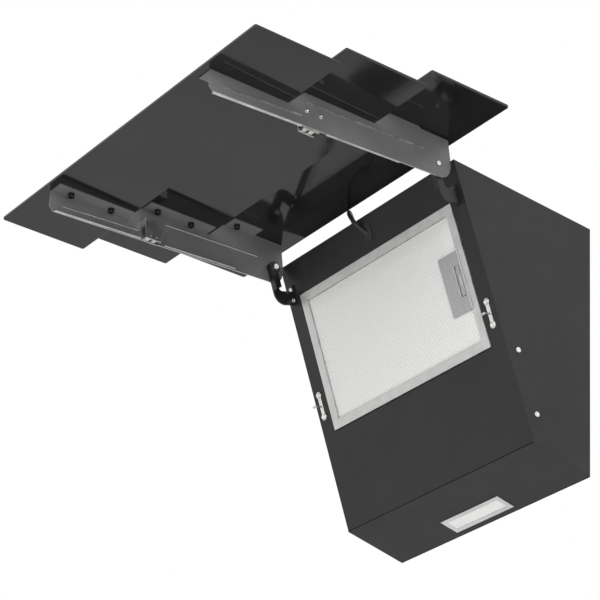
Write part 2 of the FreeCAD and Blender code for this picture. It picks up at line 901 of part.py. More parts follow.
def make_outlet_collar():
    body = new_body("outlet_collar")
    centre = (0, -dims.duct_depth)
    inner = dims.collar_radius - dims.collar_wall
    sketch = new_sketch(body, "XY_Plane", HALF_HEIGHT)
    draw_circle(sketch, centre, dims.collar_flange_radius)
    draw_circle(sketch, centre, inner)
    for place in collar_screw_places():
        draw_circle(sketch, place, FACE_SHANK + dims.running_fit)
    pad(body, sketch, dims.collar_flange)
    sketch = new_sketch(body, "XY_Plane", FLANGE_TOP)
    draw_circle(sketch, centre, dims.collar_radius)
    draw_circle(sketch, centre, inner)
    pad(body, sketch, dims.collar_height - dims.collar_flange)
    hole = [((0, FLAP_HEIGHT), dims.flap_pin_radius + dims.running_fit)]
    start = dims.duct_depth - dims.collar_radius - 2
    cut_discs(body, "XZ_Plane", hole, start, dims.collar_radius * 2 + 4)


def make_collar_screws():
    body = new_body("collar_screws")
    shanks = [(place, FACE_SHANK) for place in collar_screw_places()]
    heads = [(place, Size.of(3.1)) for place in collar_screw_places()]
    add_discs(body, "XY_Plane", shanks, HALF_HEIGHT, dims.collar_flange)
    add_discs(body, "XY_Plane", heads, FLANGE_TOP, 1.8)


def make_flap_pin():
    body = new_body("flap_pin")
    reach = dims.collar_radius - 0.5
    circle = [((0, FLAP_HEIGHT), dims.flap_pin_radius)]
    add_discs(body, "XZ_Plane", circle, dims.duct_depth - reach, reach * 2)


def knuckle_spans(side):
    """Stretches of the flap pin, measured from the duct's centre, that carry one flap."""
    return [(-16.0, 16.0)] if side > 0 else [(-48.0, -18.0), (18.0, 48.0)]


def make_flap(side):
    body = new_body(f"{side_name(side)}_flap")
    centre = (0, -dims.duct_depth)
    low = FLAP_HEIGHT - dims.flap_thickness / 2
    add_discs(body, "XY_Plane", [(centre, dims.flap_radius)], low, dims.flap_thickness)
    across = mirrored(-side, -4.2, dims.flap_radius + 1)
    reach = dims.flap_radius + 1
    along = (-dims.duct_depth - reach, -dims.duct_depth + reach)
    cut_block(body, across, along, (low - 1, low + dims.flap_thickness + 1))
    for start, end in knuckle_spans(side):
        span = (start - dims.duct_depth, end - dims.duct_depth)
        add_block(body, mirrored(side, 0, 6.0), span, (low, low + dims.flap_thickness))
        knuckle = [((0, FLAP_HEIGHT), dims.flap_knuckle_radius)]
        add_discs(body, "XZ_Plane", knuckle, dims.duct_depth - end, Size.of(end - start))
    bore = [((0, FLAP_HEIGHT), dims.flap_pin_radius + dims.running_fit)]
    cut_discs(body, "XZ_Plane", bore, dims.duct_depth - reach, reach * 2)


# ------------------------------------------------------------- electrics

def make_control_box():
    body = new_body("control_box")
    across = (-190.0, -110.0)
    deep = (-57.2, -dims.sheet)
    high = (57.0, 137.0)
    add_block(body, across, deep, high)
    cut_block(body, (-188.0, -112.0), (-58.2, -3.2), (59.0, 135.0))


def make_control_lid():
    body = new_body("control_lid")
    add_block(body, (-190.0, -110.0), (-59.2, -57.2), (57.0, 137.0))


def make_control_board():
    body = new_body("control_board")
    add_block(body, (-184.0, -116.0), (-9.2, -7.6), (63.0, 131.0))
    add_block(body, (-180.0, -150.0), (-34.0, -9.2), (98.0, 126.0))


def make_capacitor():
    body = new_body("capacitor")
    add_discs(body, "XY_Plane", [((-131.0, -32.0), Size.of(14.0))], 64.0, 52.0)


def make_cord_anchor():
    body = new_body("cord_anchor", FACE)
    add_block(body, (-13.0, 9.0), (-45.0, -30.0), (-16.0, -4.0))


# ------------------------------------------------------------------ cable

def corner_arc(before, corner, after):
    """The arc that rounds one corner of the cable's route, and its radius."""
    back = before - corner
    ahead = after - corner
    reach = 0.45 * min(back.Length, ahead.Length)
    turn = math.pi - back.getAngle(ahead)
    radius = reach / math.tan(turn / 2)
    start = corner + FreeCAD.Vector(back).normalize() * reach
    end = corner + FreeCAD.Vector(ahead).normalize() * reach
    bisector = ((start + end) * 0.5 - corner).normalize()
    middle = corner + bisector * (radius / math.cos(turn / 2) - radius)
    return start, middle, end, radius


def cable_shape(points):
    """A round tube along straight runs joined by tangent arcs."""
    route = [FreeCAD.Vector(*point) for point in points]
    edges = []
    last = route[0]
    radii = []
    for before, corner, after in zip(route, route[1:], route[2:]):
        start, middle, end, radius = corner_arc(before, corner, after)
        edges.append(Part.LineSegment(last, start).toShape())
        edges.append(Part.Arc(start, middle, end).toShape())
        radii.append(round(radius, 1))
        last = end
    edges.append(Part.LineSegment(last, route[-1]).toShape())
    path = Part.Wire(edges)
    section = Part.Circle(route[0], route[1] - route[0], dims.cable_radius.value).toShape()
    tube = path.makePipeShell([Part.Wire([section])], True, False)
    expected = math.pi * dims.cable_radius.value ** 2 * path.Length
    print("cable length", round(path.Length, 1), "radii", radii)
    print("cable volume over section times length", round(tube.Volume / expected, 4))
    return tube


def make_cable_grommet(tube):
    body = doc.addObject("PartDesign::Body", "Grommet_Blank")
    body.AllowCompound = True
    radius = dims.cable_slot_radius
    for start, length, grown in ((-3.0, 3.0, Size.of(-0.1)), (0.0, 1.2, Size.of(0.9))):
        for circle in cable_slot_circles(radius + grown):
            add_discs(body, "XY_Plane", [circle], start, length)
        add_block(body, *cable_slot_block(radius + grown), (start, start + length))
    body.Placement = FACE
    cut = doc.addObject("Part::Cut", "Grommet_Cut")
    cut.Base = body
    cut.Tool = tube
    register(cut, "cable_grommet", WORLD)


def make_cord_coil():
    body = new_body("cord_coil")
    centre = (dims.coil_x, dims.coil_y)
    sketch = new_sketch(body, "XY_Plane", HALF_HEIGHT)
    draw_circle(sketch, centre, dims.coil_outer_turn + dims.cable_radius)
    draw_circle(sketch, centre, dims.coil_inner_turn - dims.cable_radius)
    pad(body, sketch, dims.coil_height)


def make_mains_plug():
    body = new_body("mains_plug")
    x, y, z = TAIL_ROUTE[-1]
    add_discs(body, "XZ_Plane", [((x, z), Size.of(6.0))], -y - 24, 26.0)
    add_block(body, (x - 16, x + 16), (y + 24, y + 56), (HALF_HEIGHT + 0.3, HALF_HEIGHT + 24.3))
    for offset, half_width in ((-8.0, 0.8), (8.0, 0.8)):
        across = (x + offset - half_width, x + offset + half_width)
        add_block(body, across, (y + 56, y + 74), (z - 3.2, z + 3.2))


# ----------------------------------------------------------------- filter

def make_filter_frame():
    body = new_body("filter_frame", FACE)
    sketch = new_sketch(body, "XY_Plane", -dims.filter_back)
    draw_rectangle(sketch, *filter_window(0))
    draw_rectangle(sketch, *filter_window(-dims.filter_border))
    pad(body, sketch, dims.filter_back + dims.filter_proud)
    for low, high in filter_hinge_spans(0, 5.5):
        pin = [((-dims.filter_hinge_across, dims.filter_hinge_height), dims.filter_hinge_radius)]
        add_discs(body, "XZ_Plane", pin, -high, high - low)


def make_filter_mesh():
    body = new_body("filter_mesh", FACE)
    low = -dims.filter_back / 2 - dims.mesh_thickness / 2
    add_block(body, *filter_window(-dims.filter_border), (low, dims.filter_proud - 0.6))


def latch_outline():
    return (dims.latch_inner, dims.latch_outer), (-dims.latch_bottom, -dims.latch_top)


LATCH_SEAT = dims.filter_proud
LATCH_TOP = LATCH_SEAT + dims.latch_thickness


def make_latch_plate():
    body = new_body("latch_plate", FACE)
    add_block(body, *latch_outline(), (LATCH_SEAT, LATCH_TOP))
    half = dims.latch_slot_half_width
    centre = dims.latch_slot_centre
    along = (-dims.latch_slot_bottom, -dims.latch_slot_top)
    cut_block(body, (centre - half, centre + half), along, (LATCH_SEAT - 1, LATCH_TOP + 1))


def make_latch_slider():
    body = new_body("latch_slider", FACE)
    half = dims.latch_slot_half_width
    centre = dims.latch_slot_centre
    along = (-dims.latch_slot_bottom + 0.4, -dims.latch_slot_top - 0.4)
    add_block(body, (centre - half + 4.4, centre + half - 0.4), along, (LATCH_SEAT + 0.3, LATCH_TOP + 0.4))
    grip = (centre - half + 6.0, centre + half - 1.4)
    add_block(body, grip, (-170.0, -152.0), (LATCH_TOP, LATCH_TOP + 2.0))


# ------------------------------------------------------------ glass front

def glass_rear(row):
    """Rear edge of one pane; row 0 is the lowest pane."""
    return dims.glass_depth - dims.lower_glass_front + dims.glass_pitch * row


def glass_seat(row):
    return dims.lower_glass_height + dims.glass_step * row


def make_glass(label, row):
    body = new_body(label, FRONT)
    half = dims.glass_half_width
    rear = glass_rear(row)
    low = glass_seat(row)
    add_block(body, (-half, half), (rear - dims.glass_depth, rear), (low, low + dims.glass_thickness))
    round_edges(body, dims.glass_corner, lambda edge: runs_along(edge, 2))


# Thickness of the strike plates, and half the width of the spears on them.
STRIKE_PLATE = 1.6
SPEAR_HALF_WIDTH = 2.5

FLANGES = ((-381.0, -257.0), (-230.6, -117.8), (-85.6, -34.0))
BOTTOM_LIPS = ((-374.0, -231.0), (-191.0, -66.0))


def bracket_outline():
    """The stepped web, from its front lower corner round to the rear arc."""
    seats = [glass_seat(row) for row in range(3)]
    points = [(-382.0, -34.0), (-382.0, seats[0])]
    for row in (0, 1):
        points.append((glass_rear(row) + 0.5, seats[row]))
        points.append((FLANGES[row + 1][0], seats[row + 1]))
    points.append((FLANGES[2][1], seats[2]))
    points.append((-30.0, seats[2] - 2.5))
    points.append((18.0, seats[2] - 2.5))
    points.append((22.0, 8.0))
    return points


def rear_arc_points():
    """Corners that follow the rounded rear lower end of the web, about the hinge."""
    radius = 21.5
    angles = (0, -25, -50, -75, -100)
    return [(radius * math.cos(math.radians(a)), radius * math.sin(math.radians(a))) for a in angles]


def bracket_bottom(y):
    """Height of the web's sloping bottom edge."""
    slope = (40.0 - 21.5) / (381.0 - 41.0)
    return -21.5 + (y + 41.0) * slope


def make_bracket(side):
    body = new_body(f"{side_name(side)}_bracket", FRONT)
    outer = dims.bracket_outer
    sheet = dims.bracket_sheet
    web = mirrored(side, outer - sheet, outer)
    outline = bracket_outline() + rear_arc_points() + [(-376.0, bracket_bottom(-376.0))]
    add_profile(body, outline, web)
    flange = mirrored(side, dims.bracket_flange_inner, outer)
    for row, (front, rear) in enumerate(FLANGES):
        top = glass_seat(row)
        add_block(body, flange, (front, rear), (top - sheet, top))
    lip = mirrored(side, outer - dims.bracket_lip - sheet, outer)
    for front, rear in BOTTOM_LIPS:
        outline = [
            (front, bracket_bottom(front)),
            (rear, bracket_bottom(rear)),
            (rear, sheet + bracket_bottom(rear)),
            (front, sheet + bracket_bottom(front)),
        ]
        add_profile(body, outline, lip)
    bead = mirrored(side, outer - 0.5, outer + dims.bead_proud)
    for front, rear, low, high in ((-361.0, -234.0, -27.0, -19.0), (-226.0, -26.0, 5.0, 13.0)):
        outline = [(front, low - 1), (rear, high - 1), (rear, high + 1), (front, low + 1)]
        add_profile(body, outline, bead)
    bore = [((0, 0), dims.pivot_radius + dims.running_fit)]
    cut_discs(body, "YZ_Plane", bore, web[0] - 1, sheet + 2)
    holes = [(place, CATCH_SHANK + dims.running_fit) for place in CATCH_SCREWS]
    cut_discs(body, "YZ_Plane", holes, web[0] - 1, sheet + 2)


GLASS_SCREWS = ((-355.0, 0), (-289.0, 0), (-211.0, 1), (-153.0, 1), (-72.0, 2))
CATCH_SCREWS = ((-226.0, -8.7), (-203.0, -8.5))
CATCH_SHANK = Size.of(1.6)


def make_bracket_screws():
    """Cylinder-head screws under the flanges, into studs bonded on the glass."""
    body = new_body("bracket_screws", FRONT)
    for side in (-1, 1):
        for y, row in GLASS_SCREWS:
            centre = (177.0 * side, y)
            seat = glass_seat(row) - dims.bracket_sheet
            add_discs(body, "XY_Plane", [(centre, Size.of(4.5))], seat - 6.5, 6.5)


def make_catch(side):
    body = new_body(f"{side_name(side)}_catch", FRONT)
    outer = dims.bracket_outer - dims.bracket_sheet
    across = mirrored(side, 175.0, outer)
    housing = [(-232.0, -14.0), (-232.0, -3.0), (-198.0, -3.0), (-198.0, -14.0)]
    add_profile(body, housing, across)
    for low, high in ((175.0, 177.4), (186.0, outer)):
        cheek = [(-229.0, -33.5), (-232.0, -14.0), (-198.0, -14.0), (-204.0, -33.5)]
        add_profile(body, cheek, mirrored(side, low, high))
    pins = [((-y, dims.roller_height), Size.of(1.25)) for y in (dims.roller_front, dims.roller_rear)]
    bored = mirrored(side, 174.0, outer)
    cut_discs(body, "YZ_Plane", pins, bored[0], bored[1] - bored[0])
    screws = [(place, CATCH_SHANK) for place in CATCH_SCREWS]
    bored = mirrored(side, 182.0, outer)
    cut_discs(body, "YZ_Plane", screws, bored[0], bored[1] - bored[0])


def make_catch_rollers(label, depth):
    """One roller of each catch, with its axle; the two share an axis."""
    body = new_body(label, FRONT)
    outer = dims.bracket_outer - dims.bracket_sheet
    centre = (-depth, dims.roller_height)
    for side in (-1, 1):
        wide = mirrored(side, 177.8, 185.6)
        thin = mirrored(side, 174.6, outer - 0.1)
        for (low, high), radius in ((thin, Size.of(1.2)), (wide, dims.roller_radius)):
            add_discs(body, "YZ_Plane", [(centre, radius)], low, high - low)


def make_catch_screws():
    body = new_body("catch_screws", FRONT)
    for side in (-1, 1):
        shank = mirrored(side, 182.2, dims.bracket_outer)
        head = mirrored(side, dims.bracket_outer, dims.bracket_outer + 1.6)
        for (low, high), radius in ((shank, CATCH_SHANK), (head, Size.of(3.2))):
            circles = [(place, radius) for place in CATCH_SCREWS]
            add_discs(body, "YZ_Plane", circles, low, high - low)


# ------------------------------------------------------------------ build

def make_housing():
    make_back_panel()
    for side in (-1, 1):
        make_side_panel(side)
        make_hinge_arm(side)
        make_strike(side)
    make_side_screws()
    make_top_panel()
    make_bottom_panel()
    make_face_panel()
    make_filter_tray()
    make_face_screws("arm_screws", arm_screw_places, dims.arm_foot, 3.2)
    make_face_screws("strike_screws", strike_screw_places, Size.of(STRIKE_PLATE), 3.8)
    make_pivot_bolts()


def make_lamp():
    make_lamp_bezel()
    make_lamp_lens()
    make_lamp_board()
    make_lamp_driver()


def make_fan():
    make_fan_scroll()
    sheet = dims.scroll_sheet.value
    half = dims.scroll_half_width.value
    make_fan_plate("fan_inlet_plate", -half - sheet, 48.0)
    make_fan_plate("fan_motor_plate", half, dims.shaft_radius.value + 4)
    make_motor()
    make_motor_screws()
    make_impeller()
    make_motor_shaft()
    make_impeller_nut()


def make_outlet():
    make_outlet_collar()
    make_collar_screws()
    make_flap_pin()
    for side in (-1, 1):
        make_flap(side)


def make_electrics():
    make_control_box()
    make_control_lid()
    make_control_board()
    make_capacitor()
    make_cord_anchor()
    tube = add_feature("cord_tube", cable_shape(CABLE_ROUTE))
    make_cable_grommet(tube)
    make_cord_coil()
    add_feature("cord_tail", cable_shape(TAIL_ROUTE))
    make_mains_plug()


def make_filter():
    make_filter_frame()
    make_filter_mesh()
    make_latch_plate()
    make_latch_slider()


def make_front():
    for row, label in enumerate(("lower_glass", "middle_glass", "upper_glass")):
        make_glass(label, row)
    for side in (-1, 1):
        make_bracket(side)
        make_catch(side)
    make_bracket_screws()
    make_catch_rollers("front_catch_rollers", dims.roller_front)
    make_catch_rollers("rear_catch_rollers", dims.roller_rear)
    make_catch_screws()
    make_pivot_washers()


def check_document():
    for item in doc.Objects:
        if {"Invalid", "Error"} & set(item.State):
            raise RuntimeError(f"{item.Label} failed: {item.State}")
    for feature in cuts:
        if feature.Shape.Volume > feature.BaseFeature.Shape.Volume - TOLERANCE:
            raise RuntimeError(f"{feature.Name} removes nothing")
    for piece in sub_parts:
        if piece.Shape.isNull() or not piece.Shape.isValid():
            raise RuntimeError(f"{piece.Label} has no valid shape")


def export():
    os.makedirs("parts", exist_ok=True)
    for piece in sub_parts:
        piece.Shape.exportStep(f"parts/{piece.Label}.step")


make_spreadsheet()
make_housing()
make_lamp()
make_fan()
make_outlet()
make_electrics()
make_filter()
make_front()
doc.recompute()
check_document()
export()
print(len(sub_parts), "sub-parts written")
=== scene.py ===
import json
import math

import bmesh
import bpy
from mathutils import Matrix, Vector


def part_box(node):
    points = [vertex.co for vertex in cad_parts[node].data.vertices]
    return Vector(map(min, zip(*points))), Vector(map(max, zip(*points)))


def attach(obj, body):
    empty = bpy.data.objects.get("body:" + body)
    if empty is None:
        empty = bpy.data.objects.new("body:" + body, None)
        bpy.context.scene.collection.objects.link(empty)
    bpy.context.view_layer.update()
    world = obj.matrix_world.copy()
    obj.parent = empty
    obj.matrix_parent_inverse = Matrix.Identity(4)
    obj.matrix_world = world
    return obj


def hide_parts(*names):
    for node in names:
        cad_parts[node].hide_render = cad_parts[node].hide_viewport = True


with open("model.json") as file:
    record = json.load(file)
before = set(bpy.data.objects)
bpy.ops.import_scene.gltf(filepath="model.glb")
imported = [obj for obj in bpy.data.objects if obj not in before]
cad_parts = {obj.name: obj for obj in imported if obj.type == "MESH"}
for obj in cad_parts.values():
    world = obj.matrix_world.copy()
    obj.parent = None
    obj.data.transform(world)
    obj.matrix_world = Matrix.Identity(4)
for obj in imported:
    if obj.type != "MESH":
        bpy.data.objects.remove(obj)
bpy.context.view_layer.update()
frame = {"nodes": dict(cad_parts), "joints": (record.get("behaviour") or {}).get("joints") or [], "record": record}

NODES = frame["nodes"]


def frame_matrix(depth, height, turn):
    """A frame in front of the wall, turned about X; metres for the place, degrees for the turn."""
    place = Matrix.Translation((0, -depth, height))
    return place @ Matrix.Rotation(math.radians(turn), 4, "X")


def hinge_place(name):
    joint = next(item for item in frame["joints"] if item["name"] == name)
    return Vector(joint["pos_m"])


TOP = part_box("top_panel")[1]
FACE_TOP_DEPTH = -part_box("top_panel")[0][1]
FACE_SLANT = 22.39
FRONT_TILT = 3.82
HINGE = hinge_place("front_hinge")

WORLD = Matrix.Identity(4)
FACE = frame_matrix(FACE_TOP_DEPTH, TOP[2], 90 + FACE_SLANT)
FRONT = frame_matrix(-HINGE.y, HINGE.z, FRONT_TILT)


# ------------------------------------------------------------ materials

NOISE_LOW = 0.3
NOISE_HIGH = 0.7


def new_material(name):
    made = bpy.data.materials.new(name)
    made.use_nodes = True
    tree = made.node_tree
    return made, tree, tree.nodes["Principled BSDF"]


def add_node(tree, kind, **values):
    node = tree.nodes.new(kind)
    for key, value in values.items():
        if key in node.inputs:
            node.inputs[key].default_value = value
        else:
            setattr(node, key, value)
    return node


def object_coordinates(tree, scale):
    """Object coordinates, stretched by a scale for each axis."""
    source = tree.nodes.new("ShaderNodeTexCoord")
    mapping = tree.nodes.new("ShaderNodeMapping")
    mapping.inputs["Scale"].default_value = scale
    tree.links.new(source.outputs["Object"], mapping.inputs["Vector"])
    return mapping.outputs["Vector"]


def noise(tree, scale, detail=3.0, stretch=(1, 1, 1)):
    node = add_node(tree, "ShaderNodeTexNoise", Scale=scale, Detail=detail)
    tree.links.new(object_coordinates(tree, stretch), node.inputs["Vector"])
    return node.outputs["Fac"]


def ramp(tree, factor, low, high, start=0.35, end=0.65):
    """Maps a factor to a colour, from the low one at start to the high one at end."""
    node = tree.nodes.new("ShaderNodeValToRGB")
    stops = node.color_ramp.elements
    for stop, place, colour in ((stops[0], start, low), (stops[1], end, high)):
        stop.position = place
        stop.color = (*colour, 1)
    tree.links.new(factor, node.inputs["Fac"])
    return node.outputs["Color"]


def spread(tree, factor, low, high):
    """Maps the part of a noise's range that it mostly stays in to a range of values."""
    node = add_node(tree, "ShaderNodeMapRange")
    node.inputs["From Min"].default_value = NOISE_LOW
    node.inputs["From Max"].default_value = NOISE_HIGH
    node.inputs["To Min"].default_value = low
    node.inputs["To Max"].default_value = high
    tree.links.new(factor, node.inputs["Value"])
    return node.outputs["Result"]


def bump(tree, shader, factor, strength, distance):
    node = add_node(tree, "ShaderNodeBump", Strength=strength, Distance=distance)
    tree.links.new(factor, node.inputs["Height"])
    tree.links.new(node.outputs["Normal"], shader.inputs["Normal"])


def scaled(colour, factor):
    return tuple(channel * factor for channel in colour)


def coated(name, colour, roughness, grain=1400.0, depth=0.00006, metallic=0.0,
           specular=0.5):
    """Powder coat or satin paint: fine orange peel and faint cloudiness."""
    made, tree, shader = new_material(name)
    cloud = noise(tree, 9.0, 4.0)
    tree.links.new(ramp(tree, cloud, scaled(colour, 0.86), scaled(colour, 1.14)),
                   shader.inputs["Base Color"])
    tree.links.new(spread(tree, noise(tree, 35.0, 5.0), roughness - 0.05, roughness + 0.06),
                   shader.inputs["Roughness"])
    shader.inputs["Metallic"].default_value = metallic
    shader.inputs["Specular IOR Level"].default_value = specular
    bump(tree, shader, noise(tree, grain, 2.0), 0.25, depth)
    return made


def brushed(name, colour, roughness, stretch=(1, 1, 1), depth=0.00002, dark=0.82):
    """Metal with a fine grain along one direction."""
    made, tree, shader = new_material(name)
    grain = noise(tree, 60.0, 6.0, stretch)
    tree.links.new(ramp(tree, grain, scaled(colour, dark), scaled(colour, 1.1)),
                   shader.inputs["Base Color"])
    tree.links.new(spread(tree, grain, roughness - 0.07, roughness + 0.1),
                   shader.inputs["Roughness"])
    shader.inputs["Metallic"].default_value = 1.0
    bump(tree, shader, grain, 0.2, depth)
    return made


def black_glass():
    """Tempered glass with black enamel behind it; faint waviness and smears."""
    made, tree, shader = new_material("black_glass")
    smear = noise(tree, 5.0, 3.0)
    tree.links.new(ramp(tree, smear, (0.006, 0.006, 0.007), (0.011, 0.011, 0.012)),
                   shader.inputs["Base Color"])
    tree.links.new(spread(tree, noise(tree, 12.0, 2.0), 0.05, 0.12), shader.inputs["Roughness"])
    shader.inputs["IOR"].default_value = 1.5
    bump(tree, shader, noise(tree, 6.0, 1.0), 0.05, 0.0004)
    return made


WEAVE_PITCH = 0.0042


def diagonal_wave(tree, lean):
    """Bands across the filter's own plane, leaning one way or the other."""
    source = tree.nodes.new("ShaderNodeTexCoord")
    turned = add_node(tree, "ShaderNodeMapping")
    turned.vector_type = "TEXTURE"
    turned.inputs["Rotation"].default_value = (math.radians(90 + FACE_SLANT), 0, 0)
    flipped = tree.nodes.new("ShaderNodeMapping")
    flipped.inputs["Scale"].default_value = (lean, 1, 0)
    wave = add_node(tree, "ShaderNodeTexWave", Scale=0.2 * math.pi / WEAVE_PITCH)
    wave.bands_direction = "DIAGONAL"
    tree.links.new(source.outputs["Object"], turned.inputs["Vector"])
    tree.links.new(turned.outputs["Vector"], flipped.inputs["Vector"])
    tree.links.new(flipped.outputs["Vector"], wave.inputs["Vector"])
    return wave.outputs["Fac"]


def woven_aluminium():
    """Aluminium mesh: two sets of strands that cross on the diagonals, with painted shade for the holes between
    them.
    """
    made, tree, shader = new_material("woven_aluminium")
    lattice = add_node(tree, "ShaderNodeMath", operation="MAXIMUM")
    tree.links.new(diagonal_wave(tree, 1), lattice.inputs[0])
    tree.links.new(diagonal_wave(tree, -1), lattice.inputs[1])
    strands = lattice.outputs["Value"]
    # painted shade: the darker tone between the strands stands for the holes
    tree.links.new(ramp(tree, strands, (0.44, 0.44, 0.43), (0.78, 0.78, 0.77), 0.3, 0.8),
                   shader.inputs["Base Color"])
    shader.inputs["Metallic"].default_value = 0.35
    tree.links.new(spread(tree, noise(tree, 300.0), 0.42, 0.58), shader.inputs["Roughness"])
    bump(tree, shader, strands, 0.4, 0.0003)
    return made


def opal_plastic():
    made, tree, shader = new_material("opal_plastic")
    cloud = noise(tree, 60.0, 2.0)
    tree.links.new(ramp(tree, cloud, (0.62, 0.62, 0.61), (0.67, 0.67, 0.66)),
                   shader.inputs["Base Color"])
    shader.inputs["Roughness"].default_value = 0.3
    bump(tree, shader, noise(tree, 900.0, 2.0), 0.15, 0.00005)
    return made


MATERIALS = {
    "housing": coated("dark_powder_coat", (0.011, 0.011, 0.011), 0.46, specular=0.36),
    "bracket": coated("grey_satin_coat", (0.115, 0.115, 0.115), 0.36, depth=0.00004),
    "arm": coated("black_satin_coat", (0.006, 0.006, 0.006), 0.38),
    "screw_black": coated("black_oxide", (0.012, 0.012, 0.012), 0.33, metallic=0.6),
    "glass": black_glass(),
    "zinc": brushed("bright_zinc", (0.74, 0.74, 0.72), 0.26),
    "catch": brushed("catch_zinc", (0.50, 0.50, 0.49), 0.34),
    # painted highlight: a brighter metal that stands for light caught on the brackets' ribs and lip undersides
    "painted_highlight": brushed("painted_highlight_metal", (0.62, 0.62, 0.61), 0.4, dark=0.9),
    "filter_frame": brushed("filter_frame_aluminium", (0.60, 0.60, 0.59), 0.5, dark=0.95),
    "filter_mesh": woven_aluminium(),
    "latch": brushed("latch_steel", (0.44, 0.44, 0.44), 0.45, (6, 1, 1), dark=0.92),
    "bezel": coated("grey_moulding", (0.46, 0.46, 0.46), 0.45, 2200.0),
    "lens": opal_plastic(),
    "board": coated("green_laminate", (0.02, 0.12, 0.05), 0.35),
    "pale_moulding": coated("pale_moulding", (0.55, 0.55, 0.53), 0.5, 2200.0),
    "fan": coated("fan_moulding", (0.03, 0.03, 0.03), 0.5, 1800.0),
    "galvanised": brushed("galvanised_steel", (0.62, 0.63, 0.64), 0.4),
    "motor": coated("motor_enamel", (0.05, 0.05, 0.055), 0.4),
    "can": coated("white_can", (0.7, 0.7, 0.68), 0.4),
    "rubber": coated("cable_sheath", (0.012, 0.012, 0.012), 0.45, 2600.0),
}


# -------------------------------------------------------- building tools

WELD_DISTANCE = 2e-6
FLAT_WITHIN = 0.6


def body_of(node):
    groups = frame["record"]["behaviour"]["bodies"]
    return next(name for name, nodes in groups.items() if node in nodes)


def add_piece(name, mesh, material, node, smooth_angle=35.0):
    """Puts a finished mesh in the scene with one CAD node's body and the given material.

    A smooth_angle of None keeps the normals that the mesh already has.
    """
    piece = bpy.data.objects.new(name, mesh)
    bpy.context.scene.collection.objects.link(piece)
    mesh.materials.clear()
    mesh.materials.append(MATERIALS[material])
    if smooth_angle is not None:
        mesh.shade_smooth()
        mesh.set_sharp_from_angle(angle=math.radians(smooth_angle))
    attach(piece, body_of(node))
    return piece


def solid_copy(node, joined):
    """The CAD node's own shape as a welded bmesh, with its flat faces joined up if asked."""
    shape = bmesh.new()
    shape.from_mesh(NODES[node].data)
    bmesh.ops.remove_doubles(shape, verts=shape.verts, dist=WELD_DISTANCE)
    if joined:
        bmesh.ops.dissolve_limit(
            shape, angle_limit=math.radians(FLAT_WITHIN), verts=shape.verts, edges=shape.edges
        )
    return shape


def finish_mesh(name, shape):
    bmesh.ops.recalc_face_normals(shape, faces=shape.faces)
    mesh = bpy.data.meshes.new(name)
    shape.to_mesh(mesh)
    shape.free()
    return mesh


def bevelled(mesh, width, segments=3, angle=28.0):
    """The mesh with its sharp edges rounded and its flat faces left flat."""
    mesh.shade_smooth()
    holder = bpy.data.objects.new("holder", mesh)
    bpy.context.scene.collection.objects.link(holder)
    rounding = holder.modifiers.new("round", "BEVEL")
    rounding.width = width
    rounding.segments = segments
    rounding.limit_method = "ANGLE"
    rounding.angle_limit = math.radians(angle)
    rounding.use_clamp_overlap = True
    rounding.miter_outer = "MITER_ARC"
    rounding.face_strength_mode = "FSTR_ALL"
    flattening = holder.modifiers.new("flatten", "WEIGHTED_NORMAL")
    flattening.mode = "FACE_AREA_WITH_ANGLE"
    flattening.use_face_influence = True
    graph = bpy.context.evaluated_depsgraph_get()
    result = bpy.data.meshes.new_from_object(holder.evaluated_get(graph))
    bpy.data.objects.remove(holder)
    return result


def soften(node, material, width=0.0006, segments=3, angle=28.0, joined=True):
    """Stands for a CAD node with the same shape, its edges rounded as on the real piece."""
    mesh = finish_mesh(node, solid_copy(node, joined))
    piece = add_piece(f"{node}_piece", bevelled(mesh, width, segments, angle), material, node,
                      None)
    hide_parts(node)
    return piece


def paint(node, material):
    """Gives a CAD node that keeps its own shape a better material."""
    mesh = NODES[node].data
    mesh.materials.clear()
    mesh.materials.append(MATERIALS[material])


def islands(node, place):
    """The low and high corners, in a local frame, of each separate solid of a node."""
    shape = solid_copy(node, joined=False)
    shape.transform(place.inverted())
    left = set(shape.verts)
    found = []
    while left:
        group = [left.pop()]
        for vertex in group:
            for edge in vertex.link_edges:
                other = edge.other_vert(vertex)
                if other in left:
                    left.remove(other)
                    group.append(other)
        low = Vector(min(vertex.co[axis] for vertex in group) for axis in range(3))
        high = Vector(max(vertex.co[axis] for vertex in group) for axis in range(3))
        found.append((low, high))
    shape.free()
    return found


# ---------------------------------------------------------------- screws

RING = 32
SOCKET_SHARE = 0.5
SOCKET_DEPTH_SHARE = 0.55
SOCKET_MOUTH = 1.12
SHANK_SHARE = 0.5
SHORTEST_SHANK = 0.0003


def lathe(shape, profile, place):
    """Turns a profile of (radius, height) points about the place's Z axis."""
    rings = []
    for radius, height in profile:
        ring = []
        for step in range(RING):
            turn = 2 * math.pi * step / RING
            point = Vector((radius * math.cos(turn), radius * math.sin(turn), height))
            ring.append(shape.verts.new(place @ point))
        rings.append(ring)
    for lower, upper in zip(rings, rings[1:]):
        for step in range(RING):
            after = (step + 1) % RING
            shape.faces.new((lower[step], lower[after], upper[after], upper[step]))
    return rings


def cap(shape, ring):
    shape.faces.new(ring)


def screw_profile(radius, height, socket, depth):
    """A head with a rounded rim and a socket, from its seat up and down into the socket."""
    rim = min(0.35 * height, 0.3 * radius)
    points = [(radius, 0), (radius, height - rim)]
    for step in (1, 2, 3):
        turn = step * math.pi / 6
        points.append((radius - rim + rim * math.cos(turn),
                       height - rim + rim * math.sin(turn)))
    points += [(socket * SOCKET_MOUTH, height), (socket, height - 0.1 * depth),
               (socket, height - depth)]
    return points


